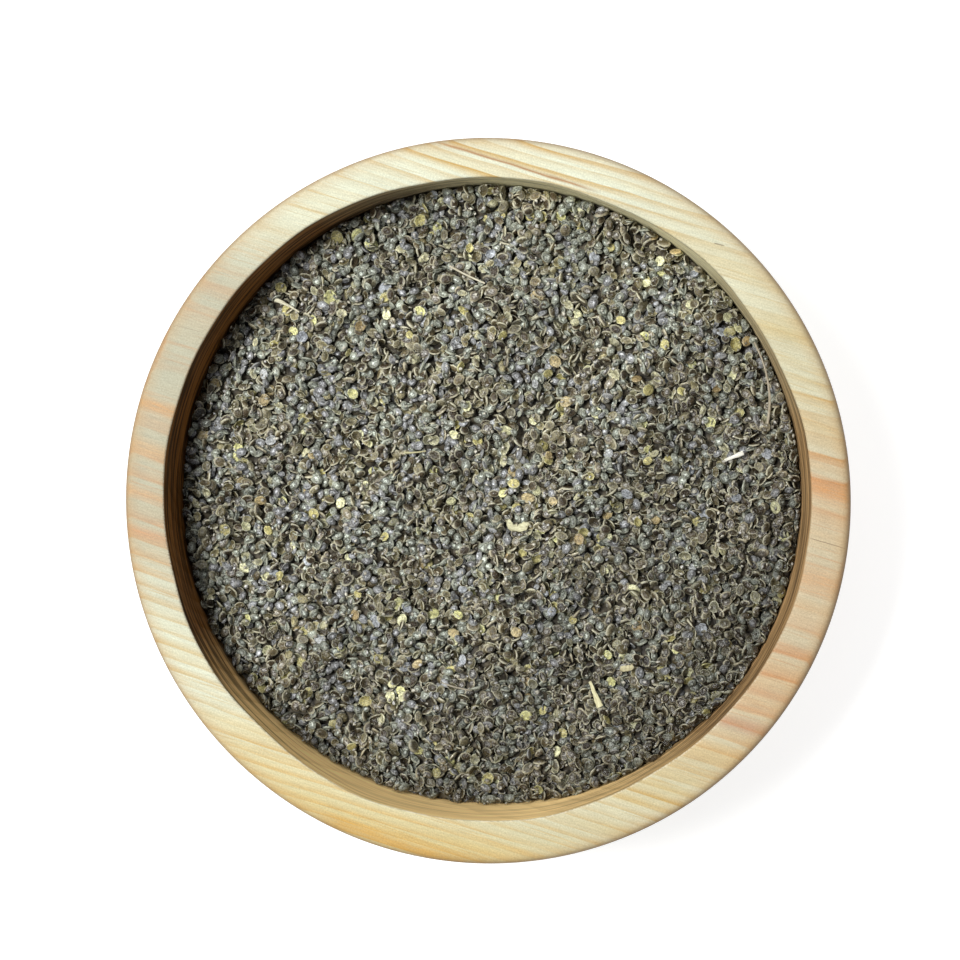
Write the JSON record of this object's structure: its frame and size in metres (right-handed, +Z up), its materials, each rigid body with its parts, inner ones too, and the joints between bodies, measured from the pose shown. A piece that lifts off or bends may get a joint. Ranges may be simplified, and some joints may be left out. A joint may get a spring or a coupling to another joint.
{
  "type": "dish of nettle seeds",
  "caption": "Shallow round dish turned from pale pine, with a broad flat rim, filled to below the rim with a heap of small flat dark nettle seeds.",
  "frame": {"origin": "centre of the dish's flat underside", "axes": "+Z up out of the dish, +X to the right and +Y to the top of the picture, which looks down on it"},
  "size_m": [0.14, 0.14, 0.045],
  "materials": {
    "pine": "bare sanded pine with sparse growth rings, satin, oiled thin",
    "nettle_seeds": "small dry lens-shaped seeds, dark grey-brown with pale margins, slightly glossy"
  },
  "bodies": {
    "root": {"dish": "pine", "seeds": "nettle_seeds"}
  },
  "joints": []
}
